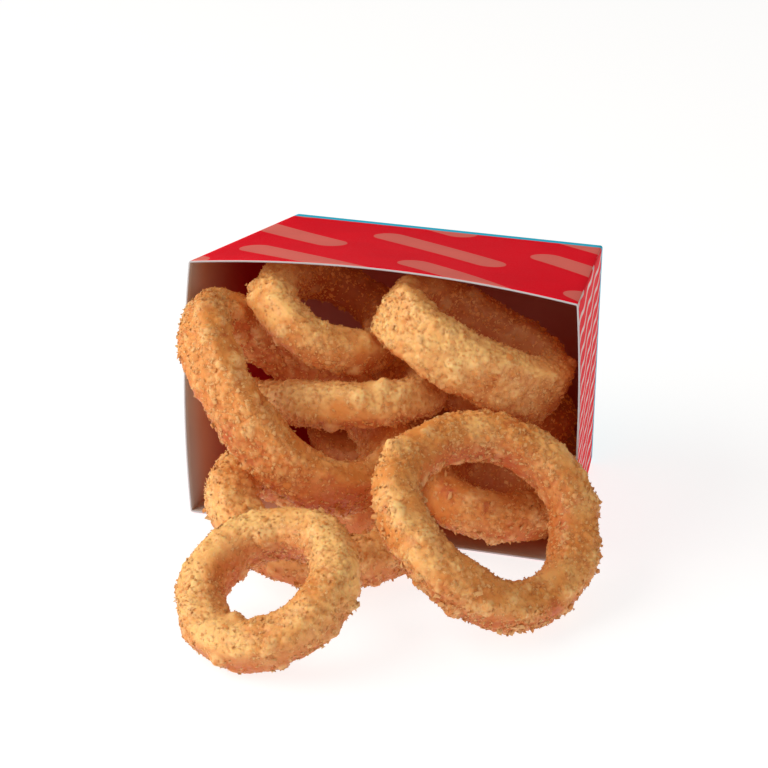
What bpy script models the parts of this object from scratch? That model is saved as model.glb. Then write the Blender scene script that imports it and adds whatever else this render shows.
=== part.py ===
"""A side of onion rings: a red paperboard carton lies on its wide panel, with breaded rings in it.

Frame: the origin is the centre of the carton's lower panel, +Y runs from the open mouth into the
carton, +X is to the right of someone looking in, and z = 0 is the table that everything lies on.
"""

import math

import bmesh
import bpy
from mathutils import Euler, Vector, noise
from mathutils.bvhtree import BVHTree

MM = 0.001
COLLECTION = "OnionRingsSide"

# The carton, lying down: width runs along X, height along Z and depth along Y.
MOUTH_WIDTH = 125.0 * MM
MOUTH_HEIGHT = 85.0 * MM
BASE_WIDTH = 106.0 * MM
BASE_HEIGHT = 75.0 * MM
CARTON_DEPTH = 78.5 * MM
BOARD = 0.6 * MM
# The springy mouth panels bow out between the folds.
TOP_BOW = 4.5 * MM
SIDE_BOW = 2.0 * MM

# What keeps neighbours apart, and how finely a ring is lowered until it rests.
GAP = 0.4 * MM
LOWERING_STEP = 0.1 * MM
LARGEST_LIFT = 9.0 * MM
LARGEST_DROP = 6.0 * MM

# A ring is a torus of this many segments.
RING_SEGMENTS = 34
SECTION_SEGMENTS = 12
CRUST_LUMP = 1.1 * MM
CRUST_LUMP_LENGTH = 13.0 * MM


def linear(red, green, blue):
    """A display colour, 0 to 255, as the linear values that a shader takes."""
    shares = [channel / 255.0 for channel in (red, green, blue)]
    return [s / 12.92 if s <= 0.04045 else ((s + 0.055) / 1.055) ** 2.4 for s in shares] + [1.0]


def give_material(piece, name, colour, roughness):
    material = bpy.data.materials.new(name)
    material.use_nodes = True
    shader = material.node_tree.nodes["Principled BSDF"]
    shader.inputs["Base Color"].default_value = colour
    shader.inputs["Roughness"].default_value = roughness
    piece.data.materials.append(material)


def start_scene():
    """Clears the scene and returns the collection that the pieces go in."""
    for leftover in list(bpy.data.objects):
        bpy.data.objects.remove(leftover, do_unlink=True)
    collection = bpy.data.collections.new(COLLECTION)
    bpy.context.scene.collection.children.link(collection)
    return collection


def apply_modifiers(piece):
    """Swaps the piece's mesh for the one that its modifiers make."""
    graph = bpy.context.evaluated_depsgraph_get()
    finished = bpy.data.meshes.new_from_object(piece.evaluated_get(graph))
    piece.modifiers.clear()
    piece.data = finished


def arch(share):
    """0 at both folds of a panel and 1 halfway between them, for a share from -0.5 to 0.5."""
    return 1.0 - (2.0 * share) ** 2


def carton_point(across, along, up):
    """Where a point of the unit cube lies on the carton: across and up from -0.5 to 0.5, along
    from 0 at the mouth to 1 at the base. The width and the height narrow towards the base."""
    width = MOUTH_WIDTH + (BASE_WIDTH - MOUTH_WIDTH) * along
    height = MOUTH_HEIGHT + (BASE_HEIGHT - MOUTH_HEIGHT) * along
    # The lower panel is flat on the table, so the mouth leans back as the upper panel slopes.
    lean = (MOUTH_HEIGHT - BASE_HEIGHT) / CARTON_DEPTH / 2.0
    share_up = up + 0.5
    spring = (1.0 - along) ** 1.5
    x = width * across
    x += math.copysign(SIDE_BOW, across) * arch(up) * spring * (abs(across) > 0.49)
    y = (along - 0.5) * CARTON_DEPTH + height * share_up * lean
    z = height * share_up
    z += TOP_BOW * arch(across) * spring * (up > 0.49)
    return Vector((x, y, z))


def make_carton(collection):
    """A tapered box open at the mouth, folded from thin board."""
    shell = bmesh.new()
    bmesh.ops.create_cube(shell, size=1.0)
    mouth = [face for face in shell.faces if face.normal.y < -0.5]
    bmesh.ops.delete(shell, geom=mouth, context="FACES_ONLY")
    bmesh.ops.subdivide_edges(shell, edges=shell.edges[:], cuts=5, use_grid_fill=True)
    for vertex in shell.verts:
        vertex.co = carton_point(vertex.co.x, vertex.co.y + 0.5, vertex.co.z)
    mesh = bpy.data.meshes.new("carton")
    shell.to_mesh(mesh)
    shell.free()
    carton = bpy.data.objects.new("carton", mesh)
    collection.objects.link(carton)
    board = carton.modifiers.new("board", "SOLIDIFY")
    board.thickness = BOARD
    board.offset = -1.0
    board.use_even_offset = True
    apply_modifiers(carton)
    give_material(carton, "red_paperboard", linear(232, 27, 50), 0.45)
    return carton


def block_section(angle, thickness, height, squareness):
    """A point of a band's section: an ellipse at squareness 2, and a rounded block above it."""
    power = 2.0 / squareness
    across = math.copysign(abs(math.cos(angle)) ** power, math.cos(angle))
    up = math.copysign(abs(math.sin(angle)) ** power, math.sin(angle))
    return thickness / 2.0 * across, height / 2.0 * up


def ring_point(around, section, ring, seed):
    """Where a torus point goes on a ring: an oval band, sprung out of flat, with a lumpy crust."""
    length, width, thickness, height, spring = (size * MM for size in ring[:5])
    crest = math.radians(ring[5])
    reach_x = (length - thickness) / 2.0
    reach_y = (width - thickness) / 2.0
    out = Vector((reach_y * math.cos(around), reach_x * math.sin(around), 0.0)).normalized()
    across, up = block_section(section, thickness, height, ring[6])
    point = Vector((reach_x * math.cos(around), reach_y * math.sin(around), 0.0))
    point += out * across
    point.z = up + spring * math.cos(2.0 * around - crest)
    away = (out * across + Vector((0.0, 0.0, up))).normalized()
    lump = noise.noise(point / CRUST_LUMP_LENGTH + Vector((seed * 7.3, seed * 3.1, 0.0)))
    return point + away * CRUST_LUMP * lump


def make_ring(collection, name, ring, place, turn, seed, colour):
    """A breaded ring from its outer length and width, band thickness and height, and spring."""
    reach = (ring[0] - ring[2]) / 2.0 * MM
    half = ring[2] / 2.0 * MM
    bpy.ops.mesh.primitive_torus_add(
        major_segments=RING_SEGMENTS,
        minor_segments=SECTION_SEGMENTS,
        major_radius=reach,
        minor_radius=half,
    )
    piece = bpy.context.object
    piece.name = name
    piece.data.name = name
    for vertex in piece.data.vertices:
        around = math.atan2(vertex.co.y, vertex.co.x)
        section = math.atan2(vertex.co.z, vertex.co.xy.length - reach)
        vertex.co = ring_point(around, section, ring, seed)
    piece.data.shade_smooth()
    piece.location = [value * MM for value in place]
    piece.rotation_euler = Euler([math.radians(angle) for angle in turn], "XYZ")
    for owner in list(piece.users_collection):
        owner.objects.unlink(piece)
    collection.objects.link(piece)
    give_material(piece, "crust_" + name, colour, 0.65)
    bpy.context.view_layer.update()
    return piece


def surface_of(piece):
    """The piece's corners in the world, and a search tree over its faces there."""
    corners = [piece.matrix_world @ vertex.co for vertex in piece.data.vertices]
    faces = [tuple(face.vertices) for face in piece.data.polygons]
    return corners, BVHTree.FromPolygons(corners, faces)


def is_clear(corners, tree):
    """Whether every corner is outside the tree's surface and at least the gap away from it."""
    for corner in corners:
        near, normal, _, distance = tree.find_nearest(corner, 6.0 * MM)
        if near is not None and (distance < GAP or (corner - near).dot(normal) < 0.0):
            return False
    return True


def fits(surface, neighbours, lift):
    """Whether the surface, moved up by lift, is above the table and clear of every neighbour."""
    corners = [corner + Vector((0.0, 0.0, lift)) for corner in surface[0]]
    if min(corner.z for corner in corners) < 0.0:
        return False
    lowered = Vector((0.0, 0.0, -lift))
    for their_corners, their_tree in neighbours:
        if not is_clear(corners, their_tree):
            return False
        if not is_clear([corner + lowered for corner in their_corners], surface[1]):
            return False
    return True


def lay(piece, neighbours):
    """Moves the piece up until it is free, then down until it rests, and adds it to the pile."""
    surface = surface_of(piece)
    lift = 0.0
    while not fits(surface, neighbours, lift) and lift < LARGEST_LIFT:
        lift += LOWERING_STEP
    while fits(surface, neighbours, lift - LOWERING_STEP) and lift > -LARGEST_DROP:
        lift -= LOWERING_STEP
    piece.location.z += lift
    bpy.context.view_layer.update()
    neighbours.append(surface_of(piece))
    print("laid", piece.name, "lift", round(lift / MM, 1))


def main():
    collection = start_scene()
    carton = make_carton(collection)
    pile = [surface_of(carton)]
    for name, ring, place, turn, colour in RINGS:
        piece = make_ring(collection, name, ring, place, turn, len(pile), colour)
        lay(piece, pile)


# Sizes in millimetres and turns in degrees. A ring is its outer length and width, the thickness
# and the height of its band, how far it springs out of flat, where along it that is highest, and
# how square the band's section is.
# The rings are listed from the bottom of the pile up, because each is laid on those before it.
PALE_CRUST = linear(214, 160, 102)
GOLD_CRUST = linear(205, 142, 82)
RINGS = [
    ("ring_floor_left", (73, 58, 16, 17, 3.5, -25, 2.6), (-12, -61, 15), (2, 16, 10), PALE_CRUST),
    ("ring_floor_right", (50, 50, 15, 17, 0, 0, 2.6), (34, -26, 14), (-12, 4, -50), GOLD_CRUST),
    ("ring_floor_back", (50, 50, 16, 17, 2, 55, 2.6), (-15, 13, 17), (22, -10, -8), GOLD_CRUST),
    ("ring_floor_deep", (44, 38, 15, 15, 1, 0, 2.6), (32, 18, 11), (4, 8, 0), GOLD_CRUST),
    ("ring_back_right", (50, 46, 15, 15, 0, 0, 2.6), (30, 8, 33), (-8, 20, 10), GOLD_CRUST),
    ("ring_left_hanging", (86, 60, 13, 20, 4, 70, 3.4), (-26, -46, 47), (3, 38, -4), GOLD_CRUST),
    ("ring_middle", (78, 56, 14, 15, 1.5, 125, 2.8), (-17, -26, 41), (-13, -15, -13), PALE_CRUST),
    ("ring_top_left", (51, 64, 14, 15, 0, 0, 2.6), (-21, -19, 65), (-8, 28, -9), PALE_CRUST),
    ("ring_front_right", (75, 74, 16, 16, 3, 45, 2.6), (45, -71, 28), (37, 6, 50), PALE_CRUST),
    ("ring_top_right", (66, 48, 13, 21, 0, 0, 3.8), (27, -21, 60), (2, 28, 19), PALE_CRUST),
    ("ring_front_left", (58, 58, 16, 16, 1, 0, 2.6), (-9, -114, 19), (27, -6, -15), PALE_CRUST),
]

main()
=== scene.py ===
"""The looks of the onion rings side: crumbed crusts, the printed carton, the floor and the light."""

import math
from collections import namedtuple

import bmesh
import bpy
import numpy as np
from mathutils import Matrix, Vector


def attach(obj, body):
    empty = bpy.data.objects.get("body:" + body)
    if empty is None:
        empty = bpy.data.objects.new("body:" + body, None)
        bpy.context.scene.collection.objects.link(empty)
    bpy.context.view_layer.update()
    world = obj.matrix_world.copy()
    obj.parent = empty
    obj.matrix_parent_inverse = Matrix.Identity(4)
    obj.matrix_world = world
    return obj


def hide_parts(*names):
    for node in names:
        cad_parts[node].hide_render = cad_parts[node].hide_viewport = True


MM = 0.001
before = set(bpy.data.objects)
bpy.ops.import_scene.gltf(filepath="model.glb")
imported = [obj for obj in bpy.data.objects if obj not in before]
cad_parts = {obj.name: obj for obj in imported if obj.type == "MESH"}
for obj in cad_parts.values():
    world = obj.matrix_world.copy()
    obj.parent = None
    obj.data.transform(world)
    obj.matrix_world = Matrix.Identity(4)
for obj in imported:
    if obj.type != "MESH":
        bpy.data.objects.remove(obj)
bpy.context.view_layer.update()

# ---------------------------------------------------------------- colours


def linear(red, green, blue):
    """A display colour, 0 to 255, as the linear values that a shader takes."""
    shares = [channel / 255.0 for channel in (red, green, blue)]
    return [s / 12.92 if s <= 0.04045 else ((s + 0.055) / 1.055) ** 2.4 for s in shares] + [1.0]


# The crust, from its palest crumb to its darkest spot, with its painted shade and painted glow.
CREAM = linear(255, 216, 146)
PALE = linear(248, 194, 118)
GOLD = linear(224, 144, 68)
AMBER = linear(190, 84, 30)
# Painted shade: the dark red that crust takes deep in the carton.
PAINTED_CARTON_SHADE = linear(150, 34, 16)
CRUMB_GOLD = linear(242, 172, 92)
# Painted glow: the orange that loose crumbs emit.
PAINTED_GLOW = linear(242, 112, 32)
# Painted shade for the crust's crevices, and also the colour of its faint painted glow.
CREVICE_SHADE_AND_GLOW = linear(170, 70, 28)
BROWN = linear(112, 46, 22)
# The carton's ink and board.
PRINT_RED = linear(252, 4, 36)
PRINT_SALMON = linear(246, 118, 108)
PRINT_BLUE = linear(44, 204, 240)
PRINT_PALE = linear(246, 214, 210)
BOARD_LIP = linear(190, 176, 166)
# The board's inside is white; the next two are painted shade on it, brown behind the lip and red further
# in.
BOARD_PAINTED_SHADE = linear(222, 158, 124)
BOARD_PAINTED_RED_SHADE = linear(226, 44, 50)
BOARD_BASE = linear(226, 150, 130)
BOARD_EDGE = linear(196, 192, 194)
BLACK = (0.0, 0.0, 0.0, 1.0)
WHITE = (1.0, 1.0, 1.0, 1.0)
FLOOR_GREY = linear(160, 160, 160)

# ---------------------------------------------------------------- noise over arrays of points

# The usual large odd numbers that scramble a cell's place into a random-looking number.
CELL_MIX = np.array([73856093, 19349663, 83492791], np.int64)
SALT_MIX = 2654435761
FIRST_MIX = 2246822519
SECOND_MIX = 3266489917
LOW_32_BITS = 0xFFFFFFFF
LOW_24_BITS = 0xFFFFFF
# A dome's radius in its cell, how blunt its tip is, its height, and how rare high ones are.
SMALLEST_DOME = 0.4
DOME_RANGE = 0.5
DOME_BLUNTNESS = 0.75
LOWEST_DOME = 0.2
HIGH_DOME_RARITY = 1.5


def hashed(cells, salt):
    """One number from 0 to 1 for each row of whole numbers."""
    mixed = cells.astype(np.int64) @ CELL_MIX
    mixed = (mixed ^ (salt * SALT_MIX)) & LOW_32_BITS
    mixed = ((mixed ^ (mixed >> 15)) * FIRST_MIX) & LOW_32_BITS
    mixed = ((mixed ^ (mixed >> 13)) * SECOND_MIX) & LOW_32_BITS
    return ((mixed ^ (mixed >> 16)) & LOW_24_BITS) / float(LOW_24_BITS)


def soft_noise(points, length, salt):
    """Smooth noise from -1 to 1 whose lumps are about that long."""
    scaled = points / length
    base = np.floor(scaled).astype(np.int64)
    share = scaled - base
    share = share * share * (3.0 - 2.0 * share)
    total = np.zeros(len(points))
    for corner in np.ndindex(2, 2, 2):
        weight = np.prod(np.where(corner, share, 1.0 - share), axis=1)
        total += weight * hashed(base + np.array(corner), salt)
    return total * 2.0 - 1.0


def crumb_relief(points, lump):
    """Domes of many sizes, one in each cell of the lump's length: the height, 0 to 1, and a number
    per dome."""
    scaled = points / lump.length
    base = np.floor(scaled).astype(np.int64)
    height = np.zeros(len(points))
    tint = np.zeros(len(points))
    for corner in np.ndindex(3, 3, 3):
        cell = base + np.array(corner) - 1
        centre = cell + np.stack([hashed(cell, lump.salt + k) for k in (1, 2, 3)], axis=1)
        size = hashed(cell, lump.salt + 4)
        reach = SMALLEST_DOME + DOME_RANGE * size
        distance = np.linalg.norm(scaled - centre, axis=1) / reach
        dome = np.clip(1.0 - distance, 0.0, 1.0) ** DOME_BLUNTNESS
        dome *= LOWEST_DOME + (1.0 - LOWEST_DOME) * size**HIGH_DOME_RARITY
        higher = dome > height
        height = np.where(higher, dome, height)
        tint = np.where(higher, hashed(cell, lump.salt + 5), tint)
    return height, tint


# ---------------------------------------------------------------- the carton's sizes

MOUTH_WIDTH = 125.0 * MM
MOUTH_HEIGHT = 85.0 * MM
BASE_WIDTH = 106.0 * MM
BASE_HEIGHT = 75.0 * MM
CARTON_DEPTH = 78.5 * MM
BOARD = 0.6 * MM
# The mouth's panels bow out between their folds, less and less towards the base.
TOP_BOW = 4.5 * MM
SIDE_BOW = 2.0 * MM
BOW_FADE = 1.5
ON_A_PANEL = 0.49
CARTON_CUTS = 39
FOLD_RADIUS = 0.7 * MM
FOLD_SEGMENTS = 3
FOLD_ANGLE = 0.8
# The print: slanted bars, a band along the base, and wavy pinstripes on the narrow panels.
BAR_SLANT = math.radians(-32.0)
BAR_PITCH = 24.0 * MM
BAR_REPEAT = 88.0 * MM
BAR_STAGGER = 39.0 * MM
BAR_LENGTH = 58.0 * MM
BAR_HALF_WIDTH = 5.5 * MM
BAND_WIDTH = 4.0 * MM
PINSTRIPE_PITCH = 5.6 * MM
PINSTRIPE_HALF_WIDTH = 0.75 * MM
WAVE_TURN_PER_METRE = 260.0
WAVE_HEIGHT = 0.8 * MM
PRINT_SOFTNESS = 0.15 * MM
# Stops along the inside of the board, from 0 at the mouth to 1 at the base.
PAST_THE_LIP = (0.0, 0.16)
INTO_THE_DARK = (0.08, 0.6)
ONTO_THE_BASE = (0.97, 1.0)

# ---------------------------------------------------------------- crusts

# How finely a crust is meshed, in front and deep in the carton.
NEAR_SPACING = 0.55 * MM
FAR_SPACING = 0.75 * MM
WELD_DISTANCE = 0.01 * MM
SMOOTHING_LEVELS = 2
LOWEST_CRUMB = 0.02 * MM
BATTER_INSET = 0.8 * MM
MOST_RELIEF = 2.3 * MM
FULL_CRUMB = 1.2 * MM
# How far each ring's noise is from the last ring's, along X and along Y.
SEED_STEP_X = 0.37
SEED_STEP_Y = 0.11
# Each kind of lump on the crust: how long it is, how high, and the number that its noise starts from.
Lump = namedtuple("Lump", "length height salt")
SWELLS = Lump(7.0 * MM, 0.6 * MM, 11)
KNOBS = Lump(6.5 * MM, 1.9 * MM, 83)
CLUMPS = Lump(3.4 * MM, 1.1 * MM, 31)
CRUMBS = Lump(1.8 * MM, 0.9 * MM, 47)
GRAINS = Lump(1.1 * MM, 0.5 * MM, 61)
# Patches where something is plentiful: how long they are, its mean, its swing and its noise's number.
Patch = namedtuple("Patch", "length mean swing salt")
COVER = Patch(9.0 * MM, 0.8, 0.9, 23)
CLUMPING = Patch(6.0 * MM, 0.15, 1.8, 37)
THINNEST_COVER = 0.35
# Only the highest domes of that noise become knobs.
KNOB_SLOPE = 2.2
CRUMB_TINT_SHARE = 0.6
# Loose crumbs: how many for each square metre of crust, their sizes, and how round they are.
Loose = namedtuple("Loose", "density smallest largest subdivisions")
FINE = Loose(0.95e6, 0.55 * MM, 1.4 * MM, 0)
COARSE = Loose(0.035e6, 1.0 * MM, 2.4 * MM, 1)
SMALL_SIZE_BIAS = 2.5
CRUMBED_SHARE = 0.75
FAR_DENSITY = 0.6
FIRST_SEED = 1000
# Coarse crumbs stay off the thinly covered places.
COARSE_NEEDS = 0.4
COARSE_ANYWHERE = 0.02
# Their shapes, for a crumb 1 across.
SHARD_SHAPES = 24
SHARD_RADIUS = 0.5
TETRAHEDRON = ((1, 1, 1), (1, -1, -1), (-1, 1, -1), (-1, -1, 1))
TETRAHEDRON_REACH = 0.35
SHARD_REACH = (0.55, 1.4)
SHARD_UNEVENNESS = 0.05
LEAST_STRETCH = (0.9, 0.7, 0.35)
MOST_STRETCH = (1.5, 1.1, 0.7)
# How many crumbs lie flat, how far those tip, and how far out the others stand, by their size.
LYING_SHARE = 0.7
LYING_TIP = 0.35
STANDING_OUT = 0.25
# How much of their shading crumbs take from the crust, and the crust from the smooth ring under it.
CRUMB_SOFTNESS = 0.7
CRUST_SOFTNESS = 0.35
LOOSE_CRUMB_HEIGHT = 0.8
TINY = 1e-9
# What the shader reads at each point and a loose crumb takes from where it sits.
SHARED_FIELDS = ("cover", "hole", "under", "deep")
# What scatter returns, with one row for each corner of a crumb except in triangles.
Scattered = namedtuple("Scattered", "corners triangles tints normals at")


def unit(vectors):
    return vectors / np.linalg.norm(vectors, axis=1)[:, None]


def read_points(mesh, field, width=3):
    values = np.empty(len(mesh.vertices) * width)
    mesh.vertices.foreach_get(field, values)
    return values.reshape(-1, width)


def add_field(mesh, name, values):
    field = mesh.attributes.new(name, "FLOAT", "POINT")
    field.data.foreach_set("value", values.astype(np.float32))


def fine_copy(node, name, spacing):
    """A smooth, evenly meshed copy of a CAD node."""
    copy = bpy.data.objects.new(name, node.data.copy())
    bpy.context.scene.collection.objects.link(copy)
    work = bmesh.new()
    work.from_mesh(copy.data)
    bmesh.ops.remove_doubles(work, verts=work.verts, dist=WELD_DISTANCE)
    work.to_mesh(copy.data)
    work.free()
    copy.data.materials.clear()
    smooth = copy.modifiers.new("smooth", "SUBSURF")
    smooth.levels = smooth.render_levels = SMOOTHING_LEVELS
    remesh = copy.modifiers.new("remesh", "REMESH")
    remesh.mode = "VOXEL"
    remesh.voxel_size = spacing
    graph = bpy.context.evaluated_depsgraph_get()
    mesh = bpy.data.meshes.new_from_object(copy.evaluated_get(graph))
    copy.modifiers.clear()
    copy.data = mesh
    return copy


def plenty(points, patch):
    """How plentiful a patchy thing is at each point."""
    return patch.mean + patch.swing * soft_noise(points, patch.length, patch.salt)


def facing_hole(points, normals):
    """For each point, how much it faces the middle of its ring: 1 inside the hole, -1 outside."""
    centre = (points.min(axis=0) + points.max(axis=0)) / 2.0
    centred = points - points.mean(axis=0)
    axis = np.linalg.svd(centred.T @ centred)[0][:, 2]
    out = points - centre
    out -= np.outer(out @ axis, axis)
    out /= np.linalg.norm(out, axis=1)[:, None] + TINY
    return -(normals * out).sum(axis=1)


def bread(piece, seed):
    """Raises swells, knobs, clumps and crumbs on a smooth ring, stores what the shader reads, and
    returns the smooth ring's normals."""
    mesh = piece.data
    points = read_points(mesh, "co")
    normals = read_points(mesh, "normal")
    # How much the crust faces the ring's hole, which the shader uses for painted shade.
    add_field(mesh, "hole", facing_hole(points, normals))
    # How much the crust faces down, which the shader uses for painted shade underneath.
    add_field(mesh, "under", -normals[:, 2])
    # How far back in the carton the crust lies, which the shader uses for painted shade.
    add_field(mesh, "deep", points[:, 1] / CARTON_DEPTH)
    shifted = points + np.array([seed * SEED_STEP_X, seed * SEED_STEP_Y, 0.0])
    swell = soft_noise(shifted, SWELLS.length, SWELLS.salt) * SWELLS.height
    cover = np.clip(plenty(shifted, COVER), THINNEST_COVER, 1.0)
    knob = np.clip(crumb_relief(shifted, KNOBS)[0] * KNOB_SLOPE - 1.0, 0.0, 1.0)
    clump = crumb_relief(shifted, CLUMPS)[0] * np.clip(plenty(shifted, CLUMPING), 0.0, 1.0)
    crumb, crumb_tint = crumb_relief(shifted, CRUMBS)
    grain, grain_tint = crumb_relief(shifted, GRAINS)
    height = cover * (crumb * CRUMBS.height + grain * GRAINS.height)
    height += clump * CLUMPS.height + knob * KNOBS.height
    points += normals * np.minimum(swell + height - BATTER_INSET, MOST_RELIEF)[:, None]
    points[:, 2] = np.maximum(points[:, 2], LOWEST_CRUMB)
    mesh.vertices.foreach_set("co", points.ravel())
    add_field(mesh, "crumb", np.clip(height / FULL_CRUMB, 0.0, 1.0))
    add_field(mesh, "tint", CRUMB_TINT_SHARE * crumb_tint + (1.0 - CRUMB_TINT_SHARE) * grain_tint)
    add_field(mesh, "cover", cover)
    mesh.shade_smooth()
    mesh.update()
    return normals


def shard_shapes(rng, subdivisions):
    """Irregular crumbs about 1 across, as corners, and the triangles that they share."""
    work = bmesh.new()
    if subdivisions:
        bmesh.ops.create_icosphere(work, subdivisions=subdivisions, radius=SHARD_RADIUS)
    else:
        for corner in TETRAHEDRON:
            work.verts.new(Vector(corner) * TETRAHEDRON_REACH)
        bmesh.ops.convex_hull(work, input=work.verts[:])
    bmesh.ops.recalc_face_normals(work, faces=work.faces[:])
    work.verts.index_update()
    corners = np.array([vertex.co[:] for vertex in work.verts])
    faces = np.array([[vertex.index for vertex in face.verts] for face in work.faces])
    work.free()
    uneven = rng.uniform(*SHARD_REACH, (SHARD_SHAPES, len(corners), 1))
    offset = rng.normal(0.0, SHARD_UNEVENNESS, (SHARD_SHAPES, len(corners), 3))
    return corners[None] * uneven + offset, faces


def turns(rng, count):
    """That many rotation matrices, spread evenly over all directions."""
    w, x, y, z = unit(rng.normal(size=(count, 4))).T
    rows = [
        [1 - 2 * (y * y + z * z), 2 * (x * y - z * w), 2 * (x * z + y * w)],
        [2 * (x * y + z * w), 1 - 2 * (x * x + z * z), 2 * (y * z - x * w)],
        [2 * (x * z - y * w), 2 * (y * z + x * w), 1 - 2 * (x * x + y * y)],
    ]
    return np.moveaxis(np.array(rows), 2, 0)


def scatter(rng, points, normals, places, area, loose):
    """Loose crumbs of one kind that stick to the crust, most of them where places is high."""
    count = int(area * loose.density)
    shapes, faces = shard_shapes(rng, loose.subdivisions)
    at = rng.choice(len(points), count, p=places / places.sum())
    size = loose.smallest + (loose.largest - loose.smallest) * rng.uniform(size=count) ** SMALL_SIZE_BIAS
    stretch = rng.uniform(LEAST_STRETCH, MOST_STRETCH, (count, 3))
    corners = shapes[rng.integers(SHARD_SHAPES, size=count)] * stretch[:, None]
    # Most crumbs lie nearly flat on the crust, and the others point anywhere.
    turn = turns(rng, count)
    lying = rng.uniform(size=count) < LYING_SHARE
    up = unit(turn[:, :, 2] * LYING_TIP + normals[at] * lying[:, None])
    side = unit(np.cross(up, turn[:, :, 0]))
    corners = np.einsum("nij,nkj->nki", np.stack([np.cross(side, up), side, up], axis=2), corners)
    # A crumb is translucent, so it takes most of its shade from the crust that it sits on.
    away = corners / (np.linalg.norm(corners, axis=2, keepdims=True) + TINY)
    shading = away * (1.0 - CRUMB_SOFTNESS) + normals[at][:, None] * CRUMB_SOFTNESS
    corners *= size[:, None, None]
    out = size * np.where(lying, 0.0, STANDING_OUT)
    corners += (points[at] + normals[at] * out[:, None])[:, None]
    corners[:, :, 2] = np.maximum(corners[:, :, 2], LOWEST_CRUMB)
    each = corners.shape[1]
    triangles = faces[None] + np.arange(count)[:, None, None] * each
    return Scattered(
        corners.reshape(-1, 3),
        triangles.reshape(-1, 3),
        np.repeat(rng.uniform(size=count), each),
        shading.reshape(-1, 3),
        np.repeat(at, each),
    )


def read_fields(mesh):
    fields = {name: np.empty(len(mesh.vertices)) for name in SHARED_FIELDS}
    for name, values in fields.items():
        mesh.attributes[name].data.foreach_get("value", values)
    return fields


def add_crumbs(piece, seed, density, smooth_normals, crust_look, crumb_look):
    """Joins loose crumbs, fine and coarse, to a breaded ring, and gives each its material."""
    rng = np.random.default_rng(FIRST_SEED + seed)
    mesh = piece.data
    points = read_points(mesh, "co")
    # The crust is translucent too, which softens how its relief is lit.
    relief_normals = read_points(mesh, "normal")
    normals = unit(relief_normals * (1.0 - CRUST_SOFTNESS) + smooth_normals * CRUST_SOFTNESS)
    fields = read_fields(mesh)
    area = sum(face.area for face in mesh.polygons) * CRUMBED_SHARE * density
    fine = scatter(rng, points, normals, fields["cover"], area, FINE)
    coarse_places = np.clip(fields["cover"] - COARSE_NEEDS, COARSE_ANYWHERE, 1.0)
    coarse = scatter(rng, points, normals, coarse_places, area, COARSE)
    corners = np.concatenate([fine.corners, coarse.corners])
    triangles = np.concatenate([fine.triangles, coarse.triangles + len(fine.corners)])
    crumbs = bpy.data.meshes.new("crumbs")
    crumbs.from_pydata(corners, [], triangles)
    add_field(crumbs, "tint", np.concatenate([fine.tints, coarse.tints]))
    add_field(crumbs, "crumb", np.full(len(corners), LOOSE_CRUMB_HEIGHT))
    for name, values in fields.items():
        add_field(crumbs, name, values[np.concatenate([fine.at, coarse.at])])
    loose = bpy.data.objects.new("crumbs", crumbs)
    bpy.context.scene.collection.objects.link(loose)
    crumbs.materials.append(crumb_look)
    mesh.materials.append(crust_look)
    with bpy.context.temp_override(active_object=piece, selected_editable_objects=[piece, loose]):
        bpy.ops.object.join()
    normals = np.concatenate([normals, fine.normals, coarse.normals])
    piece.data.shade_smooth()
    piece.data.normals_split_custom_set_from_vertices(normals)


# ---------------------------------------------------------------- materials


def new_material(name):
    material = bpy.data.materials.new(name)
    material.use_nodes = True
    tree = material.node_tree
    return material, tree, tree.nodes["Principled BSDF"]


def put(tree, node, socket, value):
    """Sets a socket to a plain value, or links it to another socket."""
    if isinstance(value, bpy.types.NodeSocket):
        tree.links.new(value, node.inputs[socket])
    else:
        node.inputs[socket].default_value = value


def noise_node(tree, scale, detail=2.0, roughness=0.5):
    place = tree.nodes.new("ShaderNodeTexCoord")
    node = tree.nodes.new("ShaderNodeTexNoise")
    put(tree, node, "Scale", scale)
    put(tree, node, "Detail", detail)
    put(tree, node, "Roughness", roughness)
    put(tree, node, "Vector", place.outputs["Object"])
    return node.outputs["Fac"]


def remap(tree, value, low, high, to_low=0.0, to_high=1.0):
    node = tree.nodes.new("ShaderNodeMapRange")
    node.interpolation_type = "SMOOTHSTEP"
    put(tree, node, "Value", value)
    put(tree, node, "From Min", low)
    put(tree, node, "From Max", high)
    put(tree, node, "To Min", to_low)
    put(tree, node, "To Max", to_high)
    return node.outputs["Result"]


def read_field(tree, name):
    node = tree.nodes.new("ShaderNodeAttribute")
    node.attribute_name = name
    return node.outputs["Fac"]


def mix_colour(tree, share, first, second):
    node = tree.nodes.new("ShaderNodeMix")
    node.data_type = "RGBA"
    put(tree, node, 0, share)
    put(tree, node, 6, first)
    put(tree, node, 7, second)
    return node.outputs[2]


def calculate(tree, operation, first, second=0.0, third=0.0):
    node = tree.nodes.new("ShaderNodeMath")
    node.operation = operation
    put(tree, node, 0, first)
    put(tree, node, 1, second)
    put(tree, node, 2, third)
    return node.outputs["Value"]


def add_bump(tree, shader, height, strength, distance):
    bump = tree.nodes.new("ShaderNodeBump")
    put(tree, bump, "Strength", strength)
    put(tree, bump, "Distance", distance)
    put(tree, bump, "Height", height)
    put(tree, shader, "Normal", bump.outputs["Normal"])


# How far a toasted and a golden crust are from a pale one.
PALE_CRUST = 0.0
TOASTED_CRUST = 0.6
GOLDEN_CRUST = 1.0
# How fine each noise is, in cycles per metre.
GOLD_SCALE = 75.0
AMBER_SCALE = 140.0
SPOT_SCALE = 190.0
SHEEN_SCALE = 450.0
GRAIN_SCALE = 1500.0
CLOUD_SCALE = 55.0
FIBRE_SCALE = 1800.0
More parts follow.
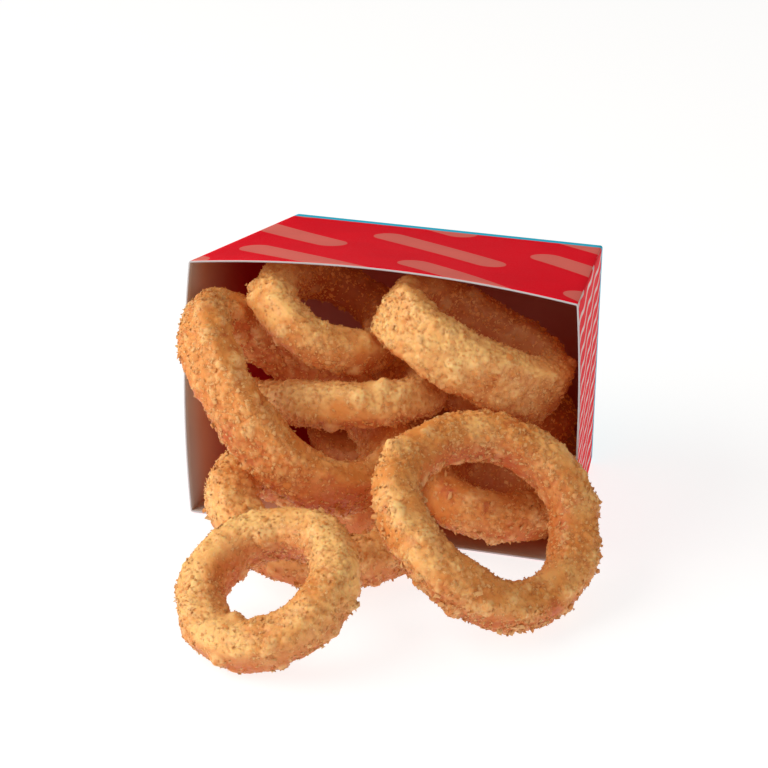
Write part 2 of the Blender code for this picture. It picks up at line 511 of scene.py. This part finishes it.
# A stop: the ends of the range over which a field or a noise counts, and its share at both ends.
GOLD_PATCHES = (0.42, 0.74)
GOLDEN_SHIFT = 0.22
AMBER_PATCHES = (0.52, 0.74)
AMBER_SHARE = 0.4
GOLDEN_AMBER = 0.5
# Painted shade: amber on the crust inside the ring's hole.
PAINTED_SHADE_IN_HOLE = (0.0, 0.9, 0.0, 0.45)
# Painted shade: amber on the crust's underside.
PAINTED_SHADE_UNDERNEATH = (-0.35, 0.6, 0.0, 0.8)
GOLD_CRUMBS = (0.2, 0.9)
RAISED_CRUMBS = (0.1, 0.85, 0.0, 0.5)
# Painted shade in the low crevices between crumbs.
PAINTED_CREVICE_SHADE = (0.0, 0.22, 0.25, 0.0)
WELL_COVERED = (0.3, 0.8)
BROWN_SPOTS = (0.74, 0.8, 0.0, 0.6)
# Painted shade: dark red on crust deep in the carton.
PAINTED_SHADE_IN_CARTON = (-0.45, 0.25, 0.0, 0.65)
GOLD_LOOSE_CRUMBS = (0.1, 1.0)
OWN_CRUMB_COLOUR = 0.6
BATTER_ROUGHNESS = (0.3, 0.7, 0.42, 0.68)
CRUMB_ROUGHNESS = (0.3, 0.7, 0.35, 0.6)
MIDDLING = (0.3, 0.7)
PAPER_UNEVENNESS = 0.06


def crust_colour(tree, golden):
    """Pale crumb tips over a golden batter, with amber patches and a few brown spots, and painted shade
    in the crevices, inside the hole, underneath and deep in the carton.
    """
    low_end, high_end = (end - golden * GOLDEN_SHIFT for end in GOLD_PATCHES)
    patches = remap(tree, noise_node(tree, GOLD_SCALE, 3.0), low_end, high_end)
    batter = mix_colour(tree, patches, PALE, GOLD)
    amber_share = AMBER_SHARE + golden * GOLDEN_AMBER
    amber = remap(tree, noise_node(tree, AMBER_SCALE, 3.0, 0.6), *AMBER_PATCHES, 0.0, amber_share)
    batter = mix_colour(tree, amber, batter, AMBER)
    # Painted shade: amber on the crust that faces the ring's hole.
    hole = remap(tree, read_field(tree, "hole"), *PAINTED_SHADE_IN_HOLE)
    batter = mix_colour(tree, hole, batter, AMBER)
    # Painted shade: amber on the down-facing crust.
    under = remap(tree, read_field(tree, "under"), *PAINTED_SHADE_UNDERNEATH)
    batter = mix_colour(tree, under, batter, AMBER)
    crumb = mix_colour(tree, remap(tree, read_field(tree, "tint"), *GOLD_CRUMBS), CREAM, GOLD)
    raised = remap(tree, read_field(tree, "crumb"), *RAISED_CRUMBS)
    surface = mix_colour(tree, raised, batter, crumb)
    # Painted shade darkens the low crevices between crumbs where the cover is thick.
    low = remap(tree, read_field(tree, "crumb"), *PAINTED_CREVICE_SHADE)
    covered = remap(tree, read_field(tree, "cover"), *WELL_COVERED)
    surface = mix_colour(tree, calculate(tree, "MULTIPLY", low, covered), surface, CREVICE_SHADE_AND_GLOW)
    spots = remap(tree, noise_node(tree, SPOT_SCALE, 2.0, 0.7), *BROWN_SPOTS)
    surface = mix_colour(tree, spots, surface, BROWN)
    # Painted shade: the crust turns dark red deeper in the carton.
    deep = remap(tree, read_field(tree, "deep"), *PAINTED_SHADE_IN_CARTON)
    return mix_colour(tree, deep, surface, PAINTED_CARTON_SHADE)


def crust_material(name, golden):
    """The fried batter, which lets light through, under an oily sheen, with a faint painted glow."""
    material, tree, shader = new_material(name)
    put(tree, shader, "Base Color", crust_colour(tree, golden))
    # A faint painted glow in the crevice colour, which lightens the crust's shade.
    put(tree, shader, "Emission Color", CREVICE_SHADE_AND_GLOW)
    put(tree, shader, "Emission Strength", 0.08)
    put(tree, shader, "Subsurface Weight", 0.35)
    put(tree, shader, "Subsurface Radius", (1.0, 0.5, 0.25))
    put(tree, shader, "Subsurface Scale", 1.2 * MM)
    put(tree, shader, "Roughness", remap(tree, noise_node(tree, SHEEN_SCALE), *BATTER_ROUGHNESS))
    put(tree, shader, "Specular IOR Level", 0.35)
    add_bump(tree, shader, noise_node(tree, GRAIN_SCALE, 2.0, 0.6), 0.35, 0.3 * MM)
    return material


def let_light_through(tree, shader, colour, share):
    """Turns that share of the shader into light that comes through from behind."""
    thin = tree.nodes.new("ShaderNodeBsdfTranslucent")
    both = tree.nodes.new("ShaderNodeMixShader")
    put(tree, thin, "Color", colour)
    put(tree, both, 0, share)
    put(tree, both, 1, shader.outputs["BSDF"])
    put(tree, both, 2, thin.outputs["BSDF"])
    tree.links.new(both.outputs["Shader"], tree.nodes["Material Output"].inputs["Surface"])


def crumb_material(name, golden):
    """Loose crumbs: the crust's colour and painted shade, each of them a little paler or more golden,
    with a faint painted glow.
    """
    material, tree, shader = new_material(name)
    own_tint = remap(tree, read_field(tree, "tint"), *GOLD_LOOSE_CRUMBS)
    own = mix_colour(tree, own_tint, CREAM, CRUMB_GOLD)
    colour = mix_colour(tree, OWN_CRUMB_COLOUR, crust_colour(tree, golden), own)
    put(tree, shader, "Base Color", colour)
    # A faint painted orange glow, which lightens the crumbs' shaded sides.
    put(tree, shader, "Emission Color", PAINTED_GLOW)
    put(tree, shader, "Emission Strength", 0.12)
    let_light_through(tree, shader, colour, 0.35)
    put(tree, shader, "Roughness", remap(tree, noise_node(tree, SHEEN_SCALE), *CRUMB_ROUGHNESS))
    put(tree, shader, "Specular IOR Level", 0.4)
    return material


def paper(name, colour, roughness, specular=0.2):
    """Paperboard in that colour, or in that pattern, with faint cloud and fibre."""
    material, tree, shader = new_material(name)
    cloud = remap(tree, noise_node(tree, CLOUD_SCALE, 4.0), *MIDDLING, 0.0, PAPER_UNEVENNESS)
    coloured = colour(tree) if callable(colour) else colour
    put(tree, shader, "Base Color", mix_colour(tree, cloud, coloured, BLACK))
    fibre = noise_node(tree, FIBRE_SCALE, 3.0, 0.6)
    smoothest, roughest = roughness - PAPER_UNEVENNESS, roughness + PAPER_UNEVENNESS
    put(tree, shader, "Roughness", remap(tree, fibre, *MIDDLING, smoothest, roughest))
    put(tree, shader, "Specular IOR Level", specular)
    add_bump(tree, shader, fibre, 0.15, 0.1 * MM)
    return material


def studio_floor():
    """A pale floor that also glows, so that shadows on it stay faint."""
    material, tree, shader = new_material("studio_floor")
    put(tree, shader, "Base Color", FLOOR_GREY)
    put(tree, shader, "Roughness", 0.95)
    put(tree, shader, "Specular IOR Level", 0.0)
    put(tree, shader, "Emission Color", WHITE)
    put(tree, shader, "Emission Strength", 0.8)
    return material


# ---------------------------------------------------------------- the carton


def arch(share):
    """0 at both folds of a panel and 1 halfway between them, for a share from -0.5 to 0.5."""
    return 1.0 - (2.0 * share) ** 2


def carton_point(across, along, up):
    """Where a point of the unit cube lies on the carton, by the same rule as the CAD carton."""
    width = MOUTH_WIDTH + (BASE_WIDTH - MOUTH_WIDTH) * along
    height = MOUTH_HEIGHT + (BASE_HEIGHT - MOUTH_HEIGHT) * along
    lean = (MOUTH_HEIGHT - BASE_HEIGHT) / CARTON_DEPTH / 2.0
    share_up = up + 0.5
    spring = (1.0 - along) ** BOW_FADE
    x = width * across
    x += math.copysign(SIDE_BOW, across) * arch(up) * spring * (abs(across) > ON_A_PANEL)
    y = (along - 0.5) * CARTON_DEPTH + height * share_up * lean
    z = height * share_up
    z += TOP_BOW * arch(across) * spring * (up > ON_A_PANEL)
    return Vector((x, y, z))


def inked(tree, distance):
    """1 where the distance is below 0, and 0 above, with a crisp printed edge."""
    return remap(tree, distance, -PRINT_SOFTNESS, PRINT_SOFTNESS, 1.0, 0.0)


def turned(tree, first, second, angle):
    """The first of two directions, after the pair is turned by that angle."""
    kept = calculate(tree, "MULTIPLY", first, math.cos(angle))
    crossed = calculate(tree, "MULTIPLY", second, math.sin(angle))
    return calculate(tree, "ADD", kept, crossed)


def slanted_bars(tree, first, second):
    """A printed pattern of rounded bars, staggered from row to row."""
    run = turned(tree, first, second, BAR_SLANT)
    rise = turned(tree, second, first, -BAR_SLANT)
    row = calculate(tree, "FLOOR", calculate(tree, "DIVIDE", rise, BAR_PITCH))
    run = calculate(tree, "MULTIPLY_ADD", row, BAR_STAGGER, run)
    # Some whole repeats more keep the run above 0 all over the carton.
    run = calculate(tree, "ADD", run, BAR_REPEAT * 8.0)
    aside = calculate(tree, "PINGPONG", run, BAR_REPEAT / 2.0)
    aside = calculate(tree, "SUBTRACT", aside, (BAR_LENGTH - 2.0 * BAR_HALF_WIDTH) / 2.0)
    aside = calculate(tree, "MAXIMUM", aside, 0.0)
    above = calculate(tree, "FLOORED_MODULO", rise, BAR_PITCH)
    above = calculate(tree, "SUBTRACT", above, BAR_PITCH / 2.0)
    square = calculate(tree, "MULTIPLY_ADD", above, above, calculate(tree, "MULTIPLY", aside, aside))
    return inked(tree, calculate(tree, "SUBTRACT", calculate(tree, "SQRT", square), BAR_HALF_WIDTH))


def print_colour(tree):
    """Red, with salmon bars on the wide panels, pale pinstripes on the narrow ones and a blue band."""
    place = tree.nodes.new("ShaderNodeTexCoord")
    split = tree.nodes.new("ShaderNodeSeparateXYZ")
    put(tree, split, 0, place.outputs["Object"])
    x, y, z = split.outputs
    narrow = read_field(tree, "narrow")
    bars = slanted_bars(tree, x, y)
    wave = calculate(tree, "SINE", calculate(tree, "MULTIPLY", y, WAVE_TURN_PER_METRE))
    wave = calculate(tree, "MULTIPLY", wave, WAVE_HEIGHT)
    line = calculate(tree, "PINGPONG", calculate(tree, "ADD", z, wave), PINSTRIPE_PITCH / 2.0)
    pinstripes = inked(tree, calculate(tree, "SUBTRACT", line, PINSTRIPE_HALF_WIDTH))
    wide_print = mix_colour(tree, bars, PRINT_RED, PRINT_SALMON)
    narrow_print = mix_colour(tree, pinstripes, PRINT_RED, PRINT_PALE)
    printed = mix_colour(tree, narrow, wide_print, narrow_print)
    from_base = calculate(tree, "SUBTRACT", 1.0, read_field(tree, "along"))
    from_base = calculate(tree, "MULTIPLY", from_base, CARTON_DEPTH)
    band = inked(tree, calculate(tree, "SUBTRACT", from_base, BAND_WIDTH))
    return mix_colour(tree, band, printed, PRINT_BLUE)


def inside_colour(tree):
    """Bare white board with painted shade throughout: grey at the lip, browner behind it, red further
    in, and paler again at the base.
    """
    along = read_field(tree, "along")
    near = mix_colour(tree, remap(tree, along, *PAST_THE_LIP), BOARD_LIP, BOARD_PAINTED_SHADE)
    wall = mix_colour(tree, remap(tree, along, *INTO_THE_DARK), near, BOARD_PAINTED_RED_SHADE)
    return mix_colour(tree, remap(tree, along, *ONTO_THE_BASE), wall, BOARD_BASE)


def make_carton():
    """The folded board: printed outside, plain inside, with a pale cut edge round the mouth."""
    shell = bmesh.new()
    bmesh.ops.create_cube(shell, size=1.0)
    mouth = [face for face in shell.faces if face.normal.y < -0.5]
    bmesh.ops.delete(shell, geom=mouth, context="FACES_ONLY")
    bmesh.ops.subdivide_edges(shell, edges=shell.edges[:], cuts=CARTON_CUTS, use_grid_fill=True)
    along = shell.verts.layers.float.new("along")
    for vertex in shell.verts:
        vertex[along] = vertex.co.y + 0.5
        vertex.co = carton_point(vertex.co.x, vertex.co.y + 0.5, vertex.co.z)
    shell.normal_update()
    inner = [edge for edge in shell.edges if len(edge.link_faces) == 2]
    folds = [edge for edge in inner if edge.calc_face_angle() > FOLD_ANGLE]
    bmesh.ops.bevel(
        shell, geom=folds, offset=FOLD_RADIUS, segments=FOLD_SEGMENTS, profile=0.5, affect="EDGES"
    )
    mesh = bpy.data.meshes.new("carton_board")
    shell.to_mesh(mesh)
    shell.free()
    mesh.shade_smooth()
    narrow = mesh.attributes.new("narrow", "FLOAT", "FACE")
    narrow.data.foreach_set("value", [float(abs(face.normal.x) > 0.7) for face in mesh.polygons])
    carton = bpy.data.objects.new("carton_board", mesh)
    bpy.context.scene.collection.objects.link(carton)
    board = carton.modifiers.new("board", "SOLIDIFY")
    board.thickness = BOARD
    board.offset = -1.0
    board.use_even_offset = True
    board.material_offset = 1
    board.material_offset_rim = 2
    carton.data.materials.append(paper("red_print", print_colour, 0.6, 0.04))
    carton.data.materials.append(paper("bare_board", inside_colour, 0.8, 0.1))
    carton.data.materials.append(paper("cut_edge", BOARD_EDGE, 0.8))
    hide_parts("carton")
    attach(carton, "root")


make_carton()

# ---------------------------------------------------------------- the rings

FAR_RINGS = ("ring_floor_back", "ring_floor_deep", "ring_back_right")
GOLDEN_RINGS = FAR_RINGS + ("ring_floor_right", "ring_left_hanging")
TOASTED_RINGS = ("ring_front_right",)


def looks(name, golden):
    return crust_material(name + "_batter", golden), crumb_material(name + "_crumbs", golden)


pale_looks = looks("pale", PALE_CRUST)
toasted_looks = looks("toasted", TOASTED_CRUST)
golden_looks = looks("golden", GOLDEN_CRUST)


def looks_of(node_name):
    if node_name in GOLDEN_RINGS:
        return golden_looks
    return toasted_looks if node_name in TOASTED_RINGS else pale_looks


ring_names = sorted(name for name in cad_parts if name.startswith("ring_"))
for seed, node_name in enumerate(ring_names, 1):
    far = node_name in FAR_RINGS
    crust_name = node_name.replace("ring_", "crust_")
    crust = fine_copy(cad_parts[node_name], crust_name, FAR_SPACING if far else NEAR_SPACING)
    smooth_normals = bread(crust, seed)
    add_crumbs(crust, seed, FAR_DENSITY if far else 1.0, smooth_normals, *looks_of(node_name))
    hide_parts(node_name)
    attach(crust, "root")

# ---------------------------------------------------------------- floor, light and camera

FLOOR_REACH = 6.0
FLOOR_DROP = 0.3 * MM
SKY_COLOUR = (1.0, 0.93, 0.84, 1.0)
SKY_STRENGTH = 0.25
# Each light: its name, its place and what it points at in metres, its size, power and colour.
LIGHTS = (
    ("key", (-0.9, -0.55, 0.72), (0.0, -0.03, 0.03), 1.4, 16.4, (1.0, 0.98, 0.94)),
    ("fill", (0.7, -0.7, 0.6), (0.0, 0.0, 0.03), 0.8, 1.8, (1.0, 1.0, 1.0)),
)
CAMERA_PLACE = (0.2150, -0.73275, 0.3707)
CAMERA_TILT = math.radians(66.38)
CAMERA_TURN = math.radians(16.99)
LENS_MM = 120.0
SENSOR_MM = 36.0


def add_floor():
    corners = [(x * FLOOR_REACH, y * FLOOR_REACH, 0.0) for x, y in ((-1, -1), (1, -1), (1, 1), (-1, 1))]
    floor_mesh = bpy.data.meshes.new("floor")
    floor_mesh.from_pydata(corners, [], [(0, 1, 2, 3)])
    floor_mesh.materials.append(studio_floor())
    floor = bpy.data.objects.new("floor", floor_mesh)
    floor.location.z = -FLOOR_DROP
    bpy.context.scene.collection.objects.link(floor)


def add_sky():
    sky = bpy.data.worlds.new("studio")
    bpy.context.scene.world = sky
    sky.use_nodes = True
    background = sky.node_tree.nodes["Background"]
    background.inputs["Color"].default_value = SKY_COLOUR
    background.inputs["Strength"].default_value = SKY_STRENGTH


def add_light(name, place, target, size, power, colour):
    light = bpy.data.lights.new(name, "AREA")
    light.shape = "DISK"
    light.size = size
    light.energy = power
    light.color = colour
    lamp = bpy.data.objects.new(name, light)
    lamp.location = place
    lamp.rotation_euler = (Vector(target) - Vector(place)).to_track_quat("-Z", "Y").to_euler()
    bpy.context.scene.collection.objects.link(lamp)


def add_camera():
    camera_data = bpy.data.cameras.new("camera")
    camera_data.lens = LENS_MM
    camera_data.sensor_width = SENSOR_MM
    camera = bpy.data.objects.new("camera", camera_data)
    camera.location = CAMERA_PLACE
    camera.rotation_euler = (CAMERA_TILT, 0.0, CAMERA_TURN)
    bpy.context.scene.collection.objects.link(camera)
    bpy.context.scene.camera = camera


add_floor()
add_sky()
for light_settings in LIGHTS:
    add_light(*light_settings)
add_camera()
bpy.context.scene.view_settings.view_transform = "Standard"
